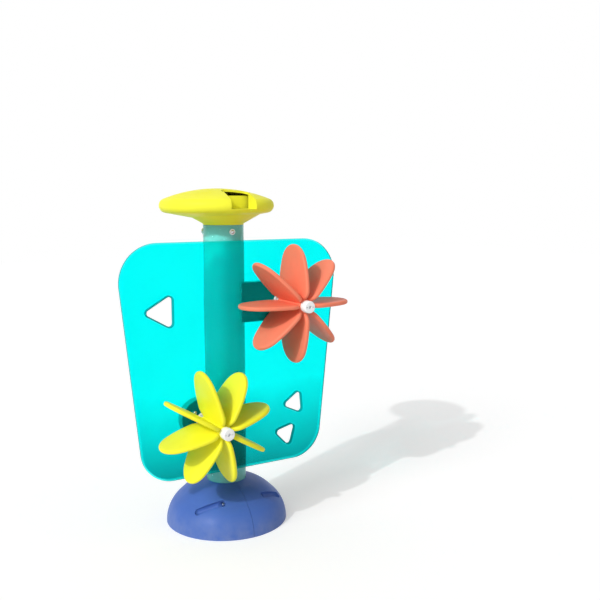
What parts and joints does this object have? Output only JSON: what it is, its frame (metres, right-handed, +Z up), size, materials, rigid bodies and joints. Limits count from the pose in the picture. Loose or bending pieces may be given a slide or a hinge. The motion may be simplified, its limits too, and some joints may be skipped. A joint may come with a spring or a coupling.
{
  "type": "water play column",
  "caption": "Splash pad water column: domed base, clear tube, round spill head and a rounded panel with windows carrying two petal paddle wheels.",
  "frame": {"origin": "centre of the anchor bolt circle, on the underside of the anchor plate, under the column's axis", "axes": "+Z up the column, +X along the panel towards the upper wheel, -Y out of the panel's front face towards the wheels"},
  "size_m": [0.9662, 0.613, 1.41],
  "materials": {
    "steel": "brushed",
    "screw_steel": "satin",
    "aqua_tube": "translucent gloss",
    "cyan_sheet": "translucent gloss",
    "blue_shell": "satin",
    "yellow_shell": "satin",
    "coral_paddle": "satin",
    "lemon_paddle": "satin",
    "white_plastic": "matte",
    "black_rubber": "matte"
  },
  "bodies": {
    "stand": {"anchor_plate": "steel", "column_socket": "steel", "socket_bolts": "screw_steel", "column_tube": "aqua_tube", "column_lower_screws": "screw_steel", "inlet_union": "white_plastic", "union_screws": "screw_steel", "riser_pipe": "white_plastic", "riser_guide_lower": "white_plastic", "riser_guide_upper": "white_plastic", "dome_sector_right": "blue_shell", "dome_sector_rear": "blue_shell", "dome_sector_left": "blue_shell", "seam_bolts": "screw_steel", "seam_nut": "screw_steel", "dome_collar_seal": "black_rubber", "head_shell": "yellow_shell", "head_collar": "white_plastic", "head_neck_screws": "screw_steel", "column_top_washers": "white_plastic", "column_top_screws": "screw_steel", "spill_tray": "yellow_shell", "water_nozzle": "white_plastic", "main_panel": "cyan_sheet", "red_arm": "aqua_tube", "red_arm_cover": "aqua_tube", "red_cover_screws": "screw_steel", "red_panel_screws": "screw_steel", "red_saddle_screws": "screw_steel", "red_axle": "steel", "red_axle_nut": "screw_steel", "red_nut_washer": "screw_steel", "red_standoff": "white_plastic", "red_thrust_washer": "black_rubber", "red_end_cap": "white_plastic", "red_cap_screw": "screw_steel", "yellow_arm": "aqua_tube", "yellow_arm_cover": "aqua_tube", "yellow_cover_screws": "screw_steel", "yellow_panel_screws": "screw_steel", "yellow_saddle_screws": "screw_steel", "yellow_axle": "steel", "yellow_axle_nut": "screw_steel", "yellow_nut_washer": "screw_steel", "yellow_standoff": "white_plastic", "yellow_thrust_washer": "black_rubber", "yellow_end_cap": "white_plastic", "yellow_cap_screw": "screw_steel"},
    "red_wheel_body": {"red_wheel": "coral_paddle", "red_rear_bush": "white_plastic", "red_front_bush": "white_plastic"},
    "yellow_wheel_body": {"yellow_wheel": "lemon_paddle", "yellow_rear_bush": "white_plastic", "yellow_front_bush": "white_plastic"}
  },
  "joints": [
    {"name": "red_wheel_spin", "type": "hinge", "parent": "stand", "child": "red_wheel_body", "pos_m": [0.208, -0.225, 0.942], "axis": [0, 1, 0], "continuous": true},
    {"name": "yellow_wheel_spin", "type": "hinge", "parent": "stand", "child": "yellow_wheel_body", "pos_m": [-0.151, -0.225, 0.4775], "axis": [0, 1, 0], "continuous": true}
  ]
}
